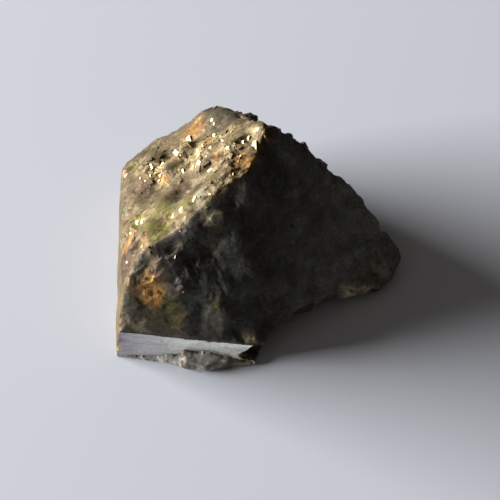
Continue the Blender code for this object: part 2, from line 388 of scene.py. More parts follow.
facetForm = {
    "inFrontOf": -15.0,  # Y; the facet lies nearer to the camera than this
    "turned": (6.0, 16.0),  # degrees off its own way where a triangle begins to count less, and no longer counts
    "topEdge": [(118, 332), (245, 345)],  # pixels at its ends
    "snap": 0.22,  # what lies this near the plane is laid flat on it
    "snapOver": 0.05,  # how far above the edge that still happens
}


def frontFacetPlane(s):
    # which way the facet looks, and how far out it lies
    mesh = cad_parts[lumpNode].data
    centres = readVectors(mesh.polygons, "center") / mm
    outwards = readVectors(mesh.polygons, "normal")
    chosen = (faceShare(outwards, "frontFacet", *s["turned"]) > 0.5) & (centres[:, 1] < s["inFrontOf"])
    weights = areasOf(mesh) * chosen
    normal = unit(weights @ outwards)
    return normal, float(np.average(centres @ normal, weights=weights))


def facetTopEdge(s):
    # height and rise of the edge, against X
    normal, level = facetPlane
    start = np.array(camera.location) / mm
    ends = []
    for x, y in s["topEdge"]:
        aim = onSurface(x, y) - start
        ends.append(start + aim * (level - start @ normal) / (aim @ normal))
    rise = (ends[1][2] - ends[0][2]) / (ends[1][0] - ends[0][0])
    return ends[0][2] - rise * ends[0][0], rise


def overFacet(points):
    # how far each point is above the edge
    height, rise = facetEdge
    return points[:, 2] - height - rise * points[:, 0]


def laidFlat(points, s):
    # the points with what lies near the facet's plane laid on it
    normal, level = facetPlane
    above = points @ normal - level
    above *= (np.abs(above) < s["snap"]) & (points[:, 1] < s["inFrontOf"]) & (overFacet(points) < s["snapOver"])
    return points - np.outer(above, normal)


facetPlane = frontFacetPlane(facetForm)
facetEdge = facetTopEdge(facetForm)
print("front facet looks along", [round(float(c), 3) for c in facetPlane[0]], "at", round(facetPlane[1], 2))


# The skin is the lump's own form with a finer broken surface.

skin = {
    "grid": 0.19,
    "triangles": 188000,
    "blocks": [(1.9, 0.62), (0.9, 0.26)],  # spacing and depth of each size of broken block
    "blockLevel": 0.34,  # the depth in a block that leaves the surface where it is
    "warp": (2.2, 0.6),  # wave length and shift that make the blocks uneven
    "soft": {  # where the form is evened out, by its distance along the way each face looks
        "rounds": 120,
        "slopeFrom": (17.5, 19.0),
        "slopeUntil": (11.0, 13.4),
        "broadFrom": (11.5, 12.8),
        "broadUntil": (14.0, 17.0),
        "broadShare": 0.3,
        "spots": [  # pixel, reach and share
            (205, 212, 2.4, 1.0), (216, 302, 2.4, 0.8), (188, 367, 2.6, 0.35), (208, 363, 2.6, 0.5),
            (166, 360, 2.0, 0.3), (244, 154, 2.2, 1.0), (196, 366, 2.4, 0.6),
        ],
        "pitRounds": 140,
        "pits": [
            (244, 154, 2.4, 1.0), (161, 157, 2.4, 1.0), (178, 184, 2.4, 1.0), (196, 188, 2.0, 0.8),
            (175, 166, 2.0, 1.0),
        ],
    },
    "ridges": {  # soft ridges along the lit slope
        "along": (0.79, 0.40, 0.47),
        "stretch": 4.0,
        "waves": [(2.6, 0.55), (1.2, 0.3), (0.6, 0.12)],  # wave length across the ridges, and depth
        "turned": (25.0, 45.0),  # degrees off the way of the lit slope where they begin to end, and have ended
    },
    "patches": (4.0, 0.35),  # wave length and least share of the relief
    "patchEnds": (-0.35, 0.35),  # values of the noise where a patch begins, and is whole
    "hollowDepth": 0.25,  # how deep a place lies that counts as fully hollow
    "footWithin": 0.02,  # what lies this near the paper stays as high as it is
    "calmSpots": [  # pixel, reach, and the share of the relief that stays
        (215, 114, 4.6, 0.15), (254, 140, 2.2, 0.0), (160, 200, 4.0, 0.45), (190, 195, 3.0, 0.5),
        (150, 222, 3.6, 0.45), (188, 368, 3.4, 0.1), (208, 363, 3.4, 0.1), (240, 362, 3.4, 0.15),
        (235, 350, 2.4, 0.2), (122, 300, 3.0, 0.3), (125, 332, 2.6, 0.05), (150, 334, 2.8, 0.05),
        (175, 336, 2.8, 0.05), (203, 338, 2.8, 0.05), (228, 341, 2.6, 0.1), (140, 360, 3.0, 0.15),
        (165, 362, 3.0, 0.15),
    ],
}


def softened(points, edges, share, rounds):
    # evens out the surface where the share is high
    first, second = edges.T
    count = len(points)
    neighbours = np.bincount(edges.ravel(), minlength=count)
    for _ in range(rounds):
        total = np.zeros((count, 3))
        for axis in range(3):
            total[:, axis] += np.bincount(first, points[second, axis], count)
            total[:, axis] += np.bincount(second, points[first, axis], count)
        points = points + (total / neighbours[:, None] - points) * (0.5 * share)[:, None]
    return points


def softSpots(points, spots):
    # each spot is whole to four tenths of its reach
    share = np.zeros(len(points))
    for x, y, reach, most in spots:
        share = np.maximum(share, most * (1.0 - ease(farFrom(points, x, y) / reach, 0.4, 1.0)))
    return share


def heightAlong(points, face):
    # how far out each point lies the way the face looks
    return points @ towardOf(face)


def softShare(points, s):
    # high on the lit slope and on the broad face, low at their edges
    slope, broad = heightAlong(points, "litSlope"), heightAlong(points, "broadFace")
    onSlope = ease(slope, *s["slopeFrom"]) * (1.0 - ease(broad, *s["slopeUntil"]))
    onBroad = ease(broad, *s["broadFrom"]) * (1.0 - ease(slope, *s["broadUntil"]))
    share = np.maximum(onSlope, s["broadShare"] * onBroad)
    return np.maximum(share, softSpots(points, s["spots"]))


def weldedCopy(name):
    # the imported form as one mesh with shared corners
    bm = bmesh.new()
    bm.from_mesh(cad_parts[lumpNode].data)
    bmesh.ops.remove_doubles(bm, verts=bm.verts, dist=1e-6)
    bmesh.ops.recalc_face_normals(bm, faces=bm.faces)
    mesh = bpy.data.meshes.new(name)
    bm.to_mesh(mesh)
    bm.free()
    return addObject(name, mesh)


def reliefShare(points, outwards, s):
    wave, least = s["patches"]
    share = least + (1.0 - least) * ease(smoothNoise(points, wave, 5)[:, 0], *s["patchEnds"])
    for face, (_, kept) in faces.items():
        share *= 1.0 - faceShare(outwards, face) * (1.0 - kept)
    return share


def calmShare(points, s):
    share = np.ones(len(points))
    for x, y, reach, kept in s["calmSpots"]:
        share *= kept + (1.0 - kept) * ease(farFrom(points, x, y) / reach, 0.3, 1.0)
    return share


def ridgeRelief(points, outwards, s):
    # long soft ridges, on the lit slope only
    along = np.array(Vector(s["along"]).normalized())
    squeezed = points - np.outer(points @ along, along) * (1.0 - 1.0 / s["stretch"])
    relief = np.zeros(len(points))
    for number, (wave, depth) in enumerate(s["waves"]):
        relief += depth * smoothNoise(squeezed, wave, 61 + number)[:, 0]
    return relief * faceShare(outwards, "litSlope", *s["turned"])


def blockRelief(points, s):
    # height of the broken blocks at each point, and a random number of each large block's own
    wave, shift = s["warp"]
    uneven = points + shift * smoothNoise(points, wave, 3)
    relief = np.zeros(len(points))
    tones = []
    for number, (spacing, depth) in enumerate(s["blocks"]):
        near, tone = blockField(uneven, spacing, 20 + 5 * number)
        relief += depth * (s["blockLevel"] - near)
        tones.append(tone)
    return relief, tones[0]


def makeSkin(s):
    obj = weldedCopy("lump_skin")
    remesh = obj.modifiers.new("grid", "REMESH")
    remesh.mode = "VOXEL"
    remesh.voxel_size = s["grid"] * mm
    applyModifiers(obj)
    mesh = obj.data
    points = readVectors(mesh.vertices, "co") / mm
    edges = np.zeros(len(mesh.edges) * 2, np.int32)
    mesh.edges.foreach_get("vertices", edges)
    edges = edges.reshape(-1, 2)
    soft = s["soft"]
    points = softened(points, edges, softSpots(points, soft["pits"]), soft["pitRounds"])
    points = softened(points, edges, softShare(points, soft), soft["rounds"])
    movePoints(mesh, points)
    outwards = readVectors(mesh.vertex_normals, "vector")
    relief, grainTone = blockRelief(points, s)
    share = reliefShare(points, outwards, s)
    calm = calmShare(points, s)
    ridges = ridgeRelief(points, outwards, s["ridges"])
    moved = laidFlat(points + outwards * (relief * share * calm + ridges * calm)[:, None], facetForm)
    moved[:, 2] = np.where(points[:, 2] < s["footWithin"], points[:, 2], np.maximum(moved[:, 2], 0.0))
    movePoints(mesh, moved)
    writeAttribute(mesh, "grainTone", grainTone)
    writeAttribute(mesh, "hollow", np.clip(-relief / s["hollowDepth"], 0.0, 1.0) * share * calm)
    before = triangleCount(mesh)
    thin = obj.modifiers.new("thin", "DECIMATE")
    thin.ratio = min(1.0, s["triangles"] / before)
    thin.use_collapse_triangulate = True
    applyModifiers(obj)
    obj.data.shade_flat()
    print("skin ready:", before, "->", len(obj.data.polygons), "triangles")
    return obj


lumpSkin = makeSkin(skin)
skinTree = BVHTree.FromObject(lumpSkin, bpy.context.evaluated_depsgraph_get())


# Crystals: small blocks, some with two corners cut off, joined into pieces.

cornerCuts = (0.55, 0.1, 1.0)  # what is left of an edge towards a cut corner; 1 leaves the corner whole

grains = {
    "count": 1100,
    "seed": 7,
    "size": (0.5, 0.32, 0.28, 1.2),  # middle, spread of its logarithm, least and most
    "nestGrowth": 0.3,  # how much larger the crystals are in the nests
    "sink": (0.38, 0.54),  # how deep the heart lies, in sizes
    "domain": 4.5,  # crystals within one domain lean nearly alike
    "lean": 0.16,
    "jitter": 0.1,
    "domainShift": 0.4,  # how uneven the borders of the domains are, in domains
    "stretch": (0.6, 1.3),  # least and most length of a side, in sizes
    "clumps": (3.0, 0.3),  # wave length of thick and thin places, and the least weight
    "clumpEnds": (-0.2, 0.5),  # values of the noise where the weight is least, and most
    "above": 0.6,  # no grain starts lower than this
    "faceWeights": {  # how thick the grains are there, and the degrees from the face where that counts and ends
        "litSlope": (0.03, 22.0, 45.0),
        "broadFace": (0.02, 40.0, 65.0),
        "leftWall": (0.0, 40.0, 60.0),
        "frontFacet": (0.0, 30.0, 50.0),
        "foot": (0.0, 20.0, 40.0),
    },
    "elsewhere": 0.05,
    "bareEnds": (0.6, 1.1),  # in reaches: bare up to the first, and as elsewhere from the second
    "bareSpots": [  # pixel, reach
        (200, 366, 5.0), (240, 362, 4.0), (340, 300, 3.0), (215, 114, 3.6), (254, 141, 1.6), (148, 284, 4.4),
    ],
    "nests": [  # pixel, reach: where the grains are thick
        (155, 168, 2.6), (178, 156, 2.4), (198, 148, 2.4), (196, 165, 1.8), (216, 136, 1.4), (228, 150, 2.0),
        (140, 222, 1.2), (134, 240, 1.0),
    ],
    "nestWeight": 0.2,
}


def crystalTemplate(cut):
    # a unit block as corners and flat faces
    bm = bmesh.new()
    for signs in np.ndindex(2, 2, 2):
        corner = Vector(signs) - Vector((0.5, 0.5, 0.5))
        if cut >= 1.0 or sum(signs) not in (0, 3):
            bm.verts.new(corner)
            continue
        for axis in range(3):
            short = corner.copy()
            short[axis] *= cut * 2.0 - 1.0
            bm.verts.new(short)
    bmesh.ops.convex_hull(bm, input=bm.verts)
    bmesh.ops.dissolve_limit(bm, angle_limit=0.02, verts=bm.verts, edges=bm.edges)
    bmesh.ops.recalc_face_normals(bm, faces=bm.faces)
    bm.verts.index_update()
    corners = np.array([v.co for v in bm.verts])
    sides = [[v.index for v in f.verts] for f in bm.faces]
    bm.free()
    return corners, sides


def joinedCrystals(name, hearts, turns, lengths, kinds, tones):
    # one mesh of many closed crystals; the rows of a turn are the crystal's own axes
    templates = [crystalTemplate(cut) for cut in cornerCuts]
    corners, sides, sideTones = [], [], []
    start = 0
    for heart, turn, length, kind, tone in zip(hearts, turns, lengths, kinds, tones):
        shape, around = templates[kind]
        corners.append(heart + (shape * length) @ turn)
        sides.extend([start + i for i in side] for side in around)
        sideTones.extend([tone] * len(around))
        start += len(shape)
    points = np.concatenate(corners)
    points[:, 2] = np.maximum(points[:, 2], 0.0)
    mesh = bpy.data.meshes.new(name)
    mesh.from_pydata((points * mm).tolist(), [], sides)
    writeAttribute(mesh, "grainTone", sideTones, "FACE")
    mesh.update()
    print(name, "ready:", triangleCount(mesh), "triangles")
    return addObject(name, mesh)


def makeGrains(s, ground):
    draw = np.random.default_rng(s["seed"])
    mesh = ground.data
    centres = readVectors(mesh.polygons, "center") / mm
    outwards = readVectors(mesh.polygons, "normal")
    areas = areasOf(mesh)
    weight = np.full(len(centres), s["elsewhere"])
    for face, (share, within, until) in s["faceWeights"].items():
        near = faceShare(outwards, face, within, until)
        weight = weight * (1.0 - near) + share * near
    wave, thinnest = s["clumps"]
    weight *= thinnest + ease(smoothNoise(centres, wave, 11)[:, 0], *s["clumpEnds"])
    nested = np.zeros(len(centres))
    for x, y, reach in s["nests"]:
        nested = np.maximum(nested, np.exp(-((farFrom(centres, x, y) / reach) ** 2)))
    weight += s["nestWeight"] * nested
    for x, y, reach in s["bareSpots"]:
        weight *= ease(farFrom(centres, x, y) / reach, *s["bareEnds"])
    weight *= centres[:, 2] > s["above"]
    picked = draw.choice(len(centres), s["count"], p=weight * areas / (weight * areas).sum())
    middle, spread, least, most = s["size"]
    sizes = middle * (1.0 + s["nestGrowth"] * nested[picked])
    sizes = np.clip(sizes * np.exp(draw.normal(0.0, spread, s["count"])), least, most)
    sink = draw.uniform(*s["sink"], s["count"])
    hearts = centres[picked] - outwards[picked] * (sizes * sink)[:, None]
    uneven = hearts / s["domain"] + s["domainShift"] * smoothNoise(hearts, s["domain"], 17)
    domains = np.floor(uneven).astype(np.int64)
    thirds = outwards[picked] + s["lean"] * (cellRandom(domains, 31) * 2.0 - 1.0)
    thirds = unit(thirds + draw.normal(0.0, s["jitter"], (s["count"], 3)))
    firsts = unit(np.cross(thirds, cellRandom(domains, 37) * 2.0 - 1.0))
    turns = np.stack([firsts, np.cross(thirds, firsts), thirds], axis=1)
    lengths = sizes[:, None] * draw.uniform(*s["stretch"], (s["count"], 3))
    kinds = draw.integers(0, len(cornerCuts), s["count"])
    tones = draw.uniform(0.0, 1.0, s["count"])
    return joinedCrystals("crystal_grains", hearts, turns, lengths, kinds, tones)


crystalGrains = makeGrains(grains, lumpSkin)


# The crystals that flash in the window light, each with one facet turned to mirror the window.

flashes = {
    "seed": 3,
    "wobble": 3.0,  # degrees off the exact mirror angle
    "proud": 0.06,  # how far the bright facet stands off the skin
    "thick": 0.8,
    "places": [  # pixel, length, width, and turn in degrees of the bright facet
        (162, 167, 1.3, 0.7, 70), (151, 167, 0.9, 0.6, 110), (160, 175, 0.7, 0.5, 30), (155, 173, 0.5, 0.3, 80),
        (150, 176, 0.5, 0.4, 60), (145, 181, 0.4, 0.3, 20), (140, 178, 0.4, 0.2, 70), (159, 180, 0.5, 0.4, 40),
        (126, 175, 0.8, 0.3, 35), (177, 154, 1.6, 0.7, 130), (189, 141, 1.5, 0.8, 95), (198, 150, 0.5, 0.4, 20),
        (198, 165, 1.4, 0.8, 35), (192, 168, 1.0, 0.5, 50), (183, 172, 0.9, 0.3, 80), (203, 145, 0.5, 0.4, 60),
        (210, 148, 0.7, 0.4, 40), (214, 136, 0.7, 0.5, 60), (212, 120, 0.5, 0.4, 50), (214, 124, 0.4, 0.3, 70),
        (223, 141, 1.0, 0.3, 150), (227, 149, 1.0, 0.6, 45), (234, 147, 0.6, 0.3, 80), (206, 157, 0.5, 0.3, 70),
        (210, 170, 0.9, 0.3, 20), (257, 130, 0.9, 0.4, 10), (254, 146, 1.5, 0.9, 75), (248, 139, 1.0, 0.4, 60),
        (243, 143, 0.7, 0.3, 70), (240, 156, 0.6, 0.4, 30), (233, 174, 0.4, 0.2, 70), (210, 194, 0.4, 0.3, 0),
        (194, 199, 0.9, 0.4, 40), (181, 209, 0.8, 0.4, 30), (173, 216, 0.6, 0.3, 50), (137, 223, 0.7, 0.5, 60),
        (142, 222, 0.5, 0.4, 80), (131, 233, 0.5, 0.4, 20), (142, 246, 0.5, 0.3, 50), (127, 262, 0.4, 0.3, 60),
        (175, 257, 0.5, 0.25, 60), (183, 272, 0.3, 0.2, 0), (183, 292, 0.3, 0.2, 0), (269, 124, 0.4, 0.3, 0),
        (291, 225, 0.6, 0.2, 80), (319, 305, 0.3, 0.2, 20), (349, 291, 1.0, 0.3, 170),
        (368, 291, 0.7, 0.15, 10),
    ],
}


def makeFlashes(s):
    draw = np.random.default_rng(s["seed"])
    hearts, turns, lengths = [], [], []
    for x, y, long, wide, angle in s["places"]:
        normal = Vector(glintNormal + draw.normal(0.0, math.radians(s["wobble"]), 3)).normalized()
        flat = Vector((math.cos(math.radians(angle)), math.sin(math.radians(angle)), 0.0))
        along = (flat - normal * flat.dot(normal)).normalized()
        turns.append(np.array([along, normal.cross(along), normal]))
        hearts.append(onSurface(x, y, skinTree) + np.array(normal) * (s["proud"] - s["thick"] / 2))
        lengths.append((long, wide, s["thick"]))
    count = len(hearts)
    kinds = draw.integers(0, len(cornerCuts), count)
    tones = draw.uniform(0.6, 1.0, count)
    return joinedCrystals("flashing_crystals", hearts, turns, np.array(lengths), kinds, tones)


flashingCrystals = makeFlashes(flashes)
pieces = (lumpSkin, crystalGrains, flashingCrystals)


# Films of colour on the metal: tarnish, and painted light and shade. Each kind has its colour and its spots:
# pixel, reach, strength.

tarnishAndPaintedLight = {
    # fresh metal, and painted glints and light over the glinting clusters and the lit patch by the summit
    "freshAndGlint": {
        "color": (0.30, 0.225, 0.112),
        "spots": [
            (157, 168, 3.0, 1.0), (178, 154, 2.6, 0.9), (192, 150, 2.6, 0.9), (196, 165, 2.0, 0.8),
            (214, 136, 2.2, 0.7), (230, 150, 2.4, 0.7), (240, 158, 1.8, 0.8), (140, 222, 1.8, 0.8),
            (142, 246, 1.2, 0.6), (236, 126, 2.4, 0.7), (248, 140, 2.4, 1.0), (254, 146, 2.0, 1.0),
            (249, 161, 1.6, 0.6),
        ],
    },
    # painted light: bright bits on the shaded side, such as the toe crystals, the ledge and a sliver
    "paintedLight": {
        "color": (0.82, 0.72, 0.50),
        "spots": [
            (349, 293, 2.0, 1.0), (368, 291, 1.6, 1.0), (240, 363, 2.0, 1.0), (255, 343, 0.8, 0.5),
            (218, 218, 1.3, 0.8),
        ],
    },
    "paleGrey": {
        "color": (0.48, 0.47, 0.44),
        "spots": [
            (140, 357, 2.6, 0.8), (160, 360, 2.4, 0.8), (176, 362, 2.0, 0.8), (190, 367, 2.2, 0.8),
            (210, 362, 3.0, 1.0), (200, 368, 2.4, 0.9),
        ],
    },
    # rust on the shaded flank, made brighter than the lit orange film as painted light
    "rustAndPaintedLight": {
        "color": (0.56, 0.30, 0.08),
        "spots": [(151, 277, 1.8, 0.6), (152, 293, 2.2, 1.0), (140, 286, 2.0, 0.7), (156, 265, 1.2, 0.4)],
    },
    "mauve": {
        "color": (0.105, 0.068, 0.038),
        "spots": [
            (135, 190, 3.0, 0.8), (157, 154, 1.8, 0.7), (200, 143, 1.0, 0.6), (225, 167, 2.2, 0.7),
            (127, 262, 2.0, 1.0), (136, 246, 1.8, 0.7), (178, 190, 2.0, 0.5), (172, 157, 1.2, 0.6),
            (267, 140, 2.0, 0.9), (208, 363, 1.2, 0.3), (120, 338, 1.2, 0.9), (325, 178, 3.0, 0.9),
            (130, 205, 1.6, 0.7), (270, 215, 3.0, 0.5), (345, 215, 3.0, 0.6),
        ],
    },
    "orange": {
        "color": (0.31, 0.155, 0.045),
        "spots": [
            (198, 126, 2.6, 0.8), (190, 132, 1.8, 0.7), (219, 153, 1.6, 0.5), (249, 162, 2.0, 1.0),
            (238, 167, 1.4, 0.8), (163, 178, 1.4, 0.6), (205, 140, 1.8, 0.5), (130, 243, 2.2, 0.8),
            (144, 236, 1.2, 0.5), (175, 160, 1.0, 0.4), (124, 174, 1.0, 0.5), (131, 231, 0.8, 0.5),
        ],
    },
    "olive": {
        "color": (0.16, 0.138, 0.03),
        "spots": [
            (164, 208, 2.6, 0.9), (178, 203, 2.0, 0.8), (138, 224, 1.8, 0.8), (155, 229, 2.4, 0.8),
            (247, 143, 1.0, 0.4), (133, 168, 1.4, 0.5), (178, 168, 1.4, 0.4), (212, 176, 1.8, 0.5),
            (176, 310, 2.6, 0.8), (190, 200, 1.4, 0.6), (163, 345, 1.4, 0.3), (224, 318, 3.6, 0.7),
            (212, 234, 1.8, 0.6), (300, 250, 3.0, 0.4), (238, 290, 3.0, 0.4), (215, 305, 3.0, 0.6),
            (226, 250, 2.4, 0.4),
        ],
    },
    "greyGreen": {
        "color": (0.145, 0.15, 0.095),
        "spots": [
            (183, 172, 1.0, 0.5), (177, 199, 1.4, 0.5), (197, 196, 1.4, 0.6), (187, 250, 1.8, 0.9),
            (202, 271, 2.0, 0.8), (289, 154, 2.2, 0.8), (208, 341, 1.4, 0.4), (190, 368, 1.6, 0.3),
            (150, 314, 1.6, 0.5), (122, 212, 1.0, 0.5), (291, 222, 2.0, 0.7), (352, 250, 3.0, 0.5),
            (388, 250, 3.0, 0.8), (282, 164, 2.4, 0.8),
        ],
    },
    "darkOlive": {
        "color": (0.035, 0.031, 0.017),
        "spots": [
            (206, 111, 2.6, 0.9), (217, 115, 2.8, 1.0), (229, 118, 2.2, 0.8), (222, 107, 2.0, 0.9),
            (205, 212, 1.4, 1.0),
        ],
    },
    # brown film, and painted shade in pits, in a notch, along the left lip and over a highlight on the knob
    "brownAndShade": {
        "color": (0.07, 0.042, 0.025),
        "spots": [
            (195, 188, 1.3, 0.9), (188, 185, 1.0, 0.8), (162, 216, 1.0, 0.7), (124, 223, 1.1, 0.9),
            (219, 122, 0.9, 0.7), (232, 163, 0.9, 0.6), (137, 167, 0.8, 0.6), (144, 159, 1.2, 0.7),
            (168, 158, 1.1, 0.8), (125, 316, 1.8, 0.6), (232, 114, 1.2, 0.7), (243, 356, 1.6, 0.9),
            (268, 168, 2.0, 0.5), (206, 180, 1.4, 0.6), (152, 266, 1.5, 0.8), (134, 262, 1.2, 0.5),
            (182, 366, 0.8, 1.0), (124, 272, 1.8, 0.8), (126, 252, 1.6, 0.7), (133, 243, 2.0, 0.6),
            (127, 264, 2.2, 0.7),
        ],
    },
}
broadFaceShade = {  # painted shade: the broad face, turned away from the window, is painted nearly black
    "greenish": (0.078, 0.088, 0.072),
    "reddish": (0.092, 0.071, 0.073),
    "right": (0.28, 0.28, 0.25),
    "rightEnds": (-3.0, 18.0),  # X where the painted shade begins to turn paler towards the right, and where that is reached
    "from": (40.0, 70.0),  # degrees away from that face where the painted shade thins out and ends
    "cover": 0.9,
    "drift": (0.4, 3.0, 0.6),  # the noise between greenish and reddish: scale, detail and roughness
    "driftEnds": (0.38, 0.62),
    "ridge": (18.7, 19.7),  # how far out towards the lit slope the painted shade begins to end, and has ended
    "shadeLifted": [  # pixel, reach, and how far the painted shade is lifted there
        (218, 218, 1.9, 1.0), (187, 250, 1.6, 0.35), (265, 168, 2.2, 0.25), (349, 293, 2.0, 1.0),
        (368, 291, 1.6, 1.0), (188, 368, 3.2, 1.0), (208, 363, 3.2, 1.0), (240, 362, 2.8, 1.0),
        (255, 342, 1.4, 1.0), (140, 360, 3.4, 1.0), (165, 362, 3.4, 1.0),
    ],
    "flankShadeLifted": [  # the same on the lit flank, which ends at the spur
        (150, 278, 3.0, 0.75), (150, 296, 2.6, 0.95), (138, 312, 3.4, 0.38), (170, 306, 3.2, 0.5),
        (176, 326, 3.0, 0.5), (150, 324, 3.0, 0.35), (128, 326, 2.6, 0.3),
    ],
    "spurEdge": (-11.4, -10.6),  # X where the lifted shade on the flank begins to end, and where it has ended
}
spotWarp = (1.5, 0.8)  # wave length and shift that make the edges of the spots uneven


def spotShare(points, x, y, reach):
    # 1 at the heart of a spot, down to 0 at one and a half times its reach
    return 1.0 - ease(farFrom(points, x, y) / reach, 0.0, 1.5)


def paintSpots(obj):
    points = readVectors(obj.data.vertices, "co") / mm
    uneven = points + spotWarp[1] * smoothNoise(points, spotWarp[0], 41)
    for kind, film in tarnishAndPaintedLight.items():
        mask = np.zeros(len(points))
        for x, y, reach, strength in film["spots"]:
            mask = np.maximum(mask, strength * spotShare(uneven, x, y, reach))
        writeAttribute(obj.data, kind, mask)
    # painted shade on the broad face, lifted at some spots and on the lit flank
    paintedShade = faceShare(formOutwards(points), "broadFace", *broadFaceShade["from"])
    paintedShade *= 1.0 - ease(heightAlong(points, "litSlope"), *broadFaceShade["ridge"])
    flank = 1.0 - ease(points[:, 0], *broadFaceShade["spurEdge"])
    for spots, share in (("shadeLifted", 1.0), ("flankShadeLifted", flank)):
        for x, y, reach, shadeLifted in broadFaceShade[spots]:
            paintedShade *= 1.0 - shadeLifted * spotShare(uneven, x, y, reach) * share
    writeAttribute(obj.data, "paintedShade", paintedShade)


for piece in pieces:
    paintSpots(piece)
print("tarnish spots laid out")


# Node groups that the materials share. Noises are given by scale, detail and roughness.

filmEdge = {
    "noise": (1.7, 4.0, 0.65),
    "noiseShare": 1.1,
    "ends": (0.62, 1.25),  # mask and noise together, where the film begins and is whole
}
mottle = {
    "clouds": (0.35, 3.0, 0.6),
    "specks": (2.6, 3.0, 0.6),
    "noiseEnds": (0.3, 0.7),
    "cloudLevels": (0.62, 1.3),
    "speckLevels": (0.5, 1.4),
    "toneLevels": (0.75, 1.2),
}


def shaderGroup(name, takes, gives):
    made = bpy.data.node_groups.new(name, "ShaderNodeTree")
    for label, kind, value in takes:
        socket = made.interface.new_socket(label, in_out="INPUT", socket_type="NodeSocket" + kind)
        if value is not None:
            socket.default_value = value
    for label, kind in gives:
        made.interface.new_socket(label, in_out="OUTPUT", socket_type="NodeSocket" + kind)
    return made, made.nodes.new("NodeGroupInput").outputs, made.nodes.new("NodeGroupOutput").inputs


def makeFilmGroup(s):
    # lays one film over a colour, broken up by fine noise at its edge; tarnish, painted light and painted shade
    # all use it
    group, takes, gives = shaderGroup(
        "tarnish_and_painted_light_film",
        [("Color", "Color", None), ("Film", "Color", None), ("Mask", "Float", 0.0), ("Place", "Vector", None),
         ("Cover", "Float", 0.8)],
        [("Color", "Color"), ("Cover", "Float")],
    )
    noise = noiseField(group, takes["Place"], s["noise"])
    broken = put(group, "Math", noise, s["noiseShare"], operation="MULTIPLY")
    total = put(group, "Math", takes["Mask"], broken.outputs[0], operation="ADD")
    edge = ranged(group, total.outputs[0], *s["ends"])
    cover = put(group, "Math", edge, takes["Cover"], operation="MULTIPLY").outputs[0]
    group.links.new(mixed(group, cover, takes["Color"], takes["Film"]), gives["Color"])
    group.links.new(cover, gives["Cover"])
    return group


def makeMottleGroup(s):
    # brightens and darkens a colour in soft clouds and fine specks
    group, takes, gives = shaderGroup(
        "metal_mottle",
        [("Color", "Color", None), ("Place", "Vector", None), ("Tone", "Float", 0.5), ("Clouds", "Float", 0.5),
         ("Specks", "Float", 0.5)],
        [("Color", "Color")],
    )
    cloudy = ranged(group, noiseField(group, takes["Place"], s["clouds"]), *s["noiseEnds"], *s["cloudLevels"])
    speckled = ranged(group, noiseField(group, takes["Place"], s["specks"]), *s["noiseEnds"], *s["speckLevels"])
    toned = ranged(group, takes["Tone"], 0.0, 1.0, *s["toneLevels"], smooth=False)
    color = mixed(group, takes["Clouds"], takes["Color"], cloudy, "MULTIPLY")
    color = mixed(group, takes["Specks"], color, speckled, "MULTIPLY")
    color = mixed(group, 1.0, color, toned, "MULTIPLY")
    group.links.new(color, gives["Color"])
    return group


def makeFacetGroup():
    # tilts the surface cell by cell, so that each tiny grain mirrors its own way
    group, takes, gives = shaderGroup(
        "grain_facets",
        [("Normal", "Vector", None), ("Place", "Vector", None), ("Cells", "Float", 1.6),
         ("Tilt", "Float", 0.3)],
        [("Normal", "Vector"), ("Tone", "Float")],
    )
    cells = put(group, "TexVoronoi", takes["Place"], None, takes["Cells"], feature="F1", distance="EUCLIDEAN")
    centred = put(group, "VectorMath", cells.outputs["Color"], (0.5, 0.5, 0.5), operation="SUBTRACT")
    scaled = put(group, "VectorMath", centred.outputs[0], operation="SCALE")
    group.links.new(takes["Tilt"], scaled.inputs["Scale"])
    tilted = put(group, "VectorMath", takes["Normal"], scaled.outputs[0], operation="ADD")
    straight = put(group, "VectorMath", tilted.outputs[0], operation="NORMALIZE")
    tone = put(group, "SeparateColor", cells.outputs["Color"])
    group.links.new(straight.outputs[0], gives["Normal"])
    group.links.new(tone.outputs[0], gives["Tone"])
    return group


filmGroup = makeFilmGroup(filmEdge)
mottleGroup = makeMottleGroup(mottle)
facetGroup = makeFacetGroup()


# The broken metal of the skin, the grains and the flashing crystals.

metals = {
    "brokenSulphide": {
        "color": (0.112, 0.081, 0.038),
        "metallic": 0.55,
        "clouds": 0.6,  # strength of the soft clouds
        "specks": 0.5,  # strength of the fine specks
        "cells": 1.5,  # tiny grains to a millimetre
        "tilt": 0.16,  # how far each of them is turned
        "roughness": (0.52, 0.76),  # of the smoothest grain, and of the roughest
        "filmRoughness": 0.14,  # how much rougher a full film makes it
        "cover": 0.8,  # how much of the metal a full film hides
        "bump": 0.25,
        "specular": 0.3,
    },
    "grainSulphide": {
        "color": (0.17, 0.125, 0.062),
        "metallic": 0.5,
        "clouds": 0.4,
        "specks": 0.4,
        "cells": 1.3,
        "tilt": 0.08,
        "roughness": (0.55, 0.8),
        "filmRoughness": 0.12,
        "cover": 0.65,
        "bump": 0.15,
        "specular": 0.3,
    },
    "flashSulphide": {
        "color": (0.25, 0.205, 0.11),
        "metallic": 1.0,
        "clouds": 0.0,
        "specks": 0.2,
        "cells": 1.3,
        "tilt": 0.02,
        "roughness": (0.48, 0.62),
        "filmRoughness": 0.0,
        "cover": 0.1,
        "bump": 0.05,
        "specular": 0.5,
    },
}
# painted shade: the hollows of the relief are darkened
hollowShade = {
    "color": (0.075, 0.052, 0.03),
    "ends": (0.15, 0.9),  # how hollow a place is where the painted shade begins, and is darkest
    "most": 0.6,
}
fineNoise = (3.2, 3.0, 0.6)  # the grain of the surface itself, which is only bump
bumpDepth = 0.1


def layFilms(tree, color, place, cover):
    # lays each kind of film, tarnish and painted light and shade, over a colour, and says how much each one
    # covers
    covers = []
    for kind, film in tarnishAndPaintedLight.items():
        laid = useGroup(tree, filmGroup, Color=color, Film=opaque(film["color"]), Mask=attribute(tree, kind),
                        Place=place, Cover=cover)
        color = laid["Color"]
        covers.append(laid["Cover"])
    return color, covers


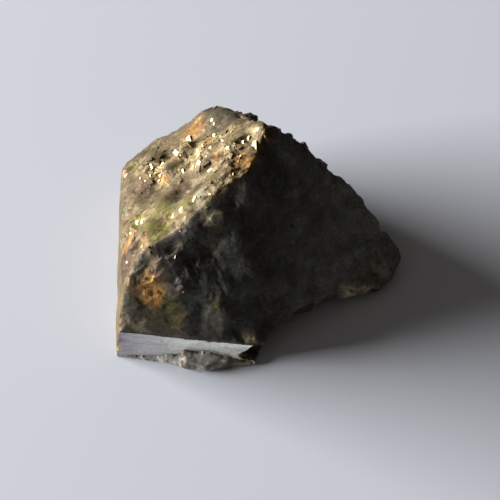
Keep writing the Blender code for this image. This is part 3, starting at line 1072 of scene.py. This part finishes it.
def layPaintedShade(tree, color, place, s):
    # painted shade: a dark film that drifts from greenish to reddish, and is paler on the right
    cover = put(tree, "Math", attribute(tree, "paintedShade"), s["cover"], operation="MULTIPLY").outputs[0]
    hue = ranged(tree, noiseField(tree, place, s["drift"]), *s["driftEnds"])
    film = mixed(tree, hue, opaque(s["greenish"]), opaque(s["reddish"]))
    onRight = ranged(tree, put(tree, "SeparateXYZ", place).outputs["X"], *s["rightEnds"])
    return mixed(tree, cover, color, mixed(tree, onRight, film, opaque(s["right"])))


# darkens the hollows as painted shade
def layHollowShade(tree, color, s):
    share = ranged(tree, attribute(tree, "hollow"), *s["ends"], 0.0, s["most"])
    return mixed(tree, share, color, opaque(s["color"]))


def metalMaterial(name, s):
    material, tree, shader = newMaterial(name)
    place = placeInMm(tree)
    color, covers = layFilms(tree, opaque(s["color"]), place, s["cover"])
    color = layPaintedShade(tree, color, place, broadFaceShade)
    color = useGroup(tree, mottleGroup, Color=color, Place=place, Tone=attribute(tree, "grainTone"),
                     Clouds=s["clouds"], Specks=s["specks"])["Color"]
    tree.links.new(layHollowShade(tree, color, hollowShade), shader["Base Color"])
    shader["Metallic"].default_value = s["metallic"]
    shader["Specular IOR Level"].default_value = s["specular"]
    bump = put(tree, "Bump", s["bump"], bumpDepth * mm)
    tree.links.new(noiseField(tree, place, fineNoise), bump.inputs["Height"])
    facets = useGroup(tree, facetGroup, Normal=bump.outputs[0], Place=place, Cells=s["cells"], Tilt=s["tilt"])
    tree.links.new(facets["Normal"], shader["Normal"])
    covered = covers[0]
    for cover in covers[1:]:
        covered = put(tree, "Math", covered, cover, operation="MAXIMUM").outputs[0]
    dull = ranged(tree, facets["Tone"], 0.0, 1.0, *s["roughness"], smooth=False)
    filmed = put(tree, "Math", covered, s["filmRoughness"], dull, operation="MULTIPLY_ADD")
    tree.links.new(filmed.outputs[0], shader["Roughness"])
    return material


for piece, (name, look) in zip(pieces, metals.items()):
    piece.data.materials.clear()
    piece.data.materials.append(metalMaterial(name, look))
print("metal ready")


# The flat facet at the front: pale and clean, with faint streaks along it. Its paleness grows towards the right
# as a painted reflection of the lit paper, and above its upper edge it takes the painted shade of the broad
# face.

facetLook = {
    # painted reflection: darker on the left, paler towards the right, as if mirroring the lit paper
    "leftColor": (0.41, 0.38, 0.41),
    "rightColor": (0.90, 0.91, 0.81),
    "ends": (-20.0, -9.0),  # where along the facet the one colour begins and the other is reached
    "metallic": 0.9,
    "roughness": (0.16, 0.34),
    "streaks": (0.25, 2.2, 1.2),  # how the noise is squeezed along, across and into the facet
    "streakNoise": (1.0, 5.0, 0.6),
    "streakEnds": (0.3, 0.7),
    "streakLevels": (0.72, 1.12),
    "roughEnds": (0.35, 0.65),
    "cover": 0.45,
    "bump": 0.12,
    "overEnds": (-0.05, 0.1),  # heights over its upper edge where the facet's finish begins to give way to painted shade, and has given way
    "overRoughness": 0.35,  # how much rougher it is there
    "flatWithin": 0.03,  # how near its plane one of its triangles lies
    "facing": 0.9,  # cosine of the most that one of its triangles is turned
}


def facetMaterial(s):
    material, tree, shader = newMaterial("clean_facet")
    place = placeInMm(tree)
    squeezed = put(tree, "VectorMath", place, s["streaks"], operation="MULTIPLY").outputs[0]
    streaks = noiseField(tree, squeezed, s["streakNoise"])
    apart = put(tree, "SeparateXYZ", place).outputs
    along = ranged(tree, apart["X"], *s["ends"], smooth=False)
    color = mixed(tree, along, opaque(s["leftColor"]), opaque(s["rightColor"]))
    color = mixed(tree, 1.0, color, ranged(tree, streaks, *s["streakEnds"], *s["streakLevels"]), "MULTIPLY")
    color, _ = layFilms(tree, color, place, s["cover"])
    height, rise = facetEdge
    edge = put(tree, "Math", apart["X"], rise, height, operation="MULTIPLY_ADD").outputs[0]
    over = put(tree, "Math", apart["Z"], edge, operation="SUBTRACT").outputs[0]
    over = ranged(tree, over, *s["overEnds"])
    # above the edge, the broad face's painted shade
    tree.links.new(mixed(tree, over, color, opaque(broadFaceShade["greenish"])), shader["Base Color"])
    shader["Metallic"].default_value = s["metallic"]
    rough = ranged(tree, streaks, *s["roughEnds"], *s["roughness"])
    rough = put(tree, "Math", over, s["overRoughness"], rough, operation="MULTIPLY_ADD").outputs[0]
    tree.links.new(rough, shader["Roughness"])
    bump = put(tree, "Bump", s["bump"], bumpDepth * mm)
    tree.links.new(streaks, bump.inputs["Height"])
    tree.links.new(bump.outputs[0], shader["Normal"])
    return material


def finishFacet(obj, s):
    mesh = obj.data
    mesh.materials.append(facetMaterial(s))
    centres = readVectors(mesh.polygons, "center") / mm
    outwards = readVectors(mesh.polygons, "normal")
    normal, level = facetPlane
    clean = (np.abs(centres @ normal - level) < s["flatWithin"]) & (outwards @ normal > s["facing"])
    clean &= centres[:, 1] < facetForm["inFrontOf"]
    corners = np.zeros(len(mesh.loops), np.int32)
    mesh.loops.foreach_get("vertex_index", corners)
    over = overFacet(readVectors(mesh.vertices, "co") / mm)[corners]
    clean &= over.reshape(-1, 3).min(-1) < 0.0
    mesh.polygons.foreach_set("material_index", clean.astype(np.int32))
    print("front facet ready:", int(clean.sum()), "triangles")


finishFacet(lumpSkin, facetLook)

scene.view_settings.view_transform = "Standard"
scene.cycles.use_denoising = True

for piece in pieces:
    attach(piece, "root")
    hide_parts(lumpNode)

print("done")
